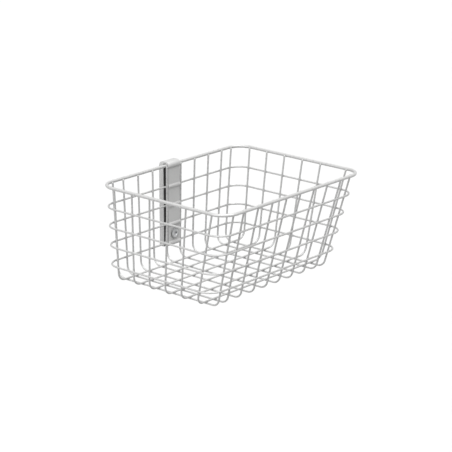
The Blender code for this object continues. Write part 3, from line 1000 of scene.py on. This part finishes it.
def pad_outline(p):
    """Side view of the pad: a strip that fills the slot, with a part circle for each ring wire."""
    b, k = p.b, p.k
    front = p.leg_inner + k.seat_gap
    back = k.slot_behind - k.seat_gap
    top = -b.rim_wire / 2 - k.pad_below_rim
    foot = p.rear_foot + k.pad_end
    radius = b.mesh_wire / 2 + k.pad_grip
    parts = [np.array([(front, foot), (back, foot), (back, top), (front, top)])]
    for drop in p.ring_drops:
        ring_y = back_at(p, -drop) - p.back
        lip = math.acos((front - ring_y) / radius)
        parts.append(arc((ring_y, -drop), radius, lip, -lip, STEPS.pad_groove))
    return np.vstack(parts) + np.array([p.back, p.lift])


class BASKET_OT_pad(bpy.types.Operator):
    """Build the rubber strip in the bracket's slot"""

    bl_idname = "basket.pad"
    bl_label = "Grip pad"

    def execute(self, context):
        p = plan(context.scene)
        half = bracket_half_width(p) - p.k.pad_inset
        mesh = bored_and_rounded(p, outline_prism("pad", pad_outline(p), half))
        # Near-black rubber whose darkness also stands in for the slot's deep shade: partly painted
        # shade.
        rubber = moulded_rubber("pad_rubber_and_slot_shade", tuple(context.scene.basket_finish.rubber))
        place(mesh, "pad", rubber, ("grip_pad",))
        return {"FINISHED"}


def screw_profile(p, turn):
    """Rows of the screw from its socket's floor to its tip, as (radii round the turn, height).

    In the socket the circle becomes a hexagon: its radius is the flat's distance over the cosine
    of the angle to the flat. The head is a sphere's cap of radius (half width squared plus rise
    squared) over twice the rise. On the shank the radius drops by a saw-tooth in the turns plus
    the distance over the pitch, which is the thread.
    """
    k, s = p.k, SCREW
    head, shank = k.head / 2, k.shank / 2
    rise = k.head_height - k.head_edge
    dome = (head ** 2 + rise ** 2) / (2 * rise)

    def dome_height(radius):
        """Height of the domed head at a distance from the axis."""
        return k.head_height - dome + math.sqrt(dome ** 2 - radius ** 2)

    sixth = math.pi / 3
    hexagon = k.socket / 2 / np.cos((turn + sixth / 2) % sixth - sixth / 2)
    circle = np.ones(len(turn))
    mouth = hexagon.max() + s.mouth_lip
    floor = dome_height(mouth) - k.socket_depth
    foot_share, foot_rise = s.wall_foot
    mixed = hexagon * s.mouth_mix + circle * mouth * (1 - s.mouth_mix)
    rows = [(hexagon * share, floor + s.cone * (share - 1)) for share in s.floor_rows]
    rows.append((hexagon * foot_share, floor + foot_rise))
    rows += [(hexagon, floor + share * k.socket_depth * s.wall_share) for share in s.wall_rows]
    rows.append((mixed, dome_height(mouth) - s.mouth_sink))
    edge = head - s.head_round
    rows += [(circle * radius, dome_height(radius))
             for radius in np.linspace(mouth, edge, s.dome_rows)]
    rows += [(circle * (edge + s.head_round * math.sin(angle)),
              dome_height(edge) - s.head_round * (1 - math.cos(angle)) / 2)
             for angle in s.round_angles]
    rows += [(circle * (head - inset), height) for inset, height in s.head_foot]
    rows += [(circle * (shank + s.neck), 0.0), (circle * shank, -s.neck)]
    for depth in np.linspace(s.thread_start, k.screw_length - s.tip, s.thread_rows):
        phase = (turn / (2 * math.pi) + depth / k.thread_pitch) % 1.0
        tooth = np.clip(s.thread_slope * np.abs(2 * phase - 1) - s.thread_land, 0, 1)
        run_in = min(1.0, (depth - s.thread_start) / s.thread_run_in)
        rows.append((circle * shank - s.thread_depth * tooth * run_in, -depth))
    rows.append((circle * (shank - s.tip), -k.screw_length))
    return rows, mouth, floor


def screw_surface(p):
    """Screw as a grid (step along the profile, turn about the axis), with dirt and painted shade.

    A point is the radius times (cos, sin) of the turn, at the row's height in front of the
    bracket. Dirt and painted shade are 1 at the foot of the head's side, where its shade falls,
    and less elsewhere.
    """
    turn = np.linspace(0, 2 * math.pi, SCREW.sides, endpoint=False)
    rows, mouth, floor = screw_profile(p, turn)
    radii = np.array([radius for radius, _ in rows])
    heights = np.array([np.full(SCREW.sides, height) for _, height in rows])
    seat = p.back + p.leg_outer - p.k.seat_gap
    axis = p.lift + p.screw_height
    verts = np.stack([radii * np.cos(turn), seat - heights, radii * np.sin(turn) + axis], 2)
    poles = [(0.0, seat - floor + SCREW.cone, axis), (0.0, seat + p.k.screw_length, axis)]
    verts = np.vstack([verts.reshape(-1, 3), poles])
    on_head = radii > p.k.shank / 2 + SCREW.hair
    # Painted shade with some dirt: the head's side darkens towards its foot on the bracket.
    flank = np.clip(SCREW.flank_grime_and_shade - heights / p.k.head_edge, 0, 1) * on_head
    grime_and_shade = np.where(radii < mouth - SCREW.hair / 10, SCREW.socket_grime_and_shade, flank)
    grime_and_shade[heights < -SCREW.hair] = SCREW.shank_grime_and_shade
    grime_and_shade = np.concatenate([grime_and_shade.ravel(), [SCREW.socket_grime_and_shade, SCREW.shank_grime_and_shade]])
    return verts, face_out(verts, round_faces(len(rows), SCREW.sides)), grime_and_shade


class BASKET_OT_screw(bpy.types.Operator):
    """Build the screw that clamps the bracket"""

    bl_idname = "basket.screw"
    bl_label = "Clamp screw"

    def execute(self, context):
        p = plan(context.scene)
        verts, faces, grime_and_shade = screw_surface(p)
        mesh = new_mesh("screw", verts, faces, SCREW_SHARP_ABOVE)
        float_attribute(mesh, "grime_and_shade", grime_and_shade)
        centre = (0.0, 0.0, p.lift + p.screw_height)
        steel = plated_steel("screw_plating", tuple(context.scene.basket_finish.steel), centre)
        place(mesh, "screw", steel, ("clamp_screw",))
        return {"FINISHED"}


def soft_sun(name, energy, spread, turn):
    """Sun lamp with a wide disc, turned from straight above."""
    lamp = bpy.data.lights.new(name, "SUN")
    lamp.energy = energy
    lamp.angle = spread
    new_object(name, lamp).rotation_euler = turn


class BASKET_OT_stage(bpy.types.Operator):
    """Set the floor, the light and the camera"""

    bl_idname = "basket.stage"
    bl_label = "Stage"

    def execute(self, context):
        scene = context.scene
        s = scene.basket_stage
        half = s.floor_size / 2
        level = CAD_BOX[0].z - s.floor_drop
        signs = ((-1, -1), (1, -1), (1, 1), (-1, 1))
        corners = [(x * half, y * half, level) for x, y in signs]
        floor = new_object("floor", new_mesh("floor", corners, [[0, 1, 2, 3]]))
        tone = (s.floor_tone,) * 3
        paper = new_material("floor_paper", tone, PAPER_ROUGHNESS, 0.0, 0.0)[0]
        floor.data.materials.append(paper)

        world = bpy.data.worlds.new("studio")
        world.use_nodes = True
        background = world.node_tree.nodes["Background"]
        socket(background, "Color", (1.0, 1.0, 1.0, 1.0))
        socket(background, "Strength", s.dome)
        scene.world = world

        soft_sun("overhead", s.overhead, s.overhead_spread, (s.overhead_tilt, 0.0, 0.0))
        soft_sun("side", s.side, s.side_spread, (0.0, -s.side_tilt, 0.0))

        lens = bpy.data.cameras.new("camera")
        lens.lens = s.lens
        lens.sensor_width = SENSOR_WIDTH
        lens.clip_start, lens.clip_end = VIEW_RANGE
        camera = new_object("camera", lens)
        back = Vector((math.sin(s.azimuth) * math.cos(s.elevation),
                       -math.cos(s.azimuth) * math.cos(s.elevation), math.sin(s.elevation)))
        camera.location = Vector(s.target) + back * s.distance
        camera.rotation_mode = "QUATERNION"
        camera.rotation_quaternion = (-back).to_track_quat("-Z", "Y")
        scene.camera = camera
        scene.view_settings.view_transform = "Standard"
        scene.view_settings.exposure = s.exposure
        return {"FINISHED"}


class BASKET_PT_panel(bpy.types.Panel):
    """List of the basket's pieces in the sidebar"""

    bl_label = "Wire basket"
    bl_idname = "BASKET_PT_panel"
    bl_space_type = "VIEW_3D"
    bl_region_type = "UI"
    bl_category = "Basket"

    def draw(self, context):
        for operator in OPERATORS:
            self.layout.operator(operator.bl_idname)
        for name in GROUPS:
            group = getattr(context.scene, name)
            box = self.layout.box()
            for entry in group.bl_rna.properties:
                if entry.identifier not in {"rna_type", "name"}:
                    box.prop(group, entry.identifier)


OPERATORS = (
    BASKET_OT_rim,
    BASKET_OT_rings,
    BASKET_OT_cross_wires,
    BASKET_OT_long_wires,
    BASKET_OT_welds,
    BASKET_OT_bracket,
    BASKET_OT_pad,
    BASKET_OT_screw,
    BASKET_OT_stage,
)
GROUPS = {
    "basket_sizes": BasketSizes,
    "bracket_sizes": BracketSizes,
    "basket_finish": BasketFinish,
    "basket_stage": StageSettings,
}


def register():
    """Register the groups, the operators and the panel."""
    for name, group in GROUPS.items():
        bpy.utils.register_class(group)
        setattr(bpy.types.Scene, name, PointerProperty(type=group))
    for each in (*OPERATORS, BASKET_PT_panel):
        bpy.utils.register_class(each)


def unregister():
    """Take them all away again."""
    for each in (BASKET_PT_panel, *OPERATORS):
        bpy.utils.unregister_class(each)
    for name, group in GROUPS.items():
        delattr(bpy.types.Scene, name)
        bpy.utils.unregister_class(group)


def main():
    """Build every piece."""
    register()
    bpy.ops.basket.rim()
    bpy.ops.basket.rings()
    bpy.ops.basket.cross_wires()
    bpy.ops.basket.long_wires()
    bpy.ops.basket.welds()
    bpy.ops.basket.bracket()
    bpy.ops.basket.pad()
    bpy.ops.basket.screw()
    bpy.ops.basket.stage()


if __name__ == "__main__":
    main()
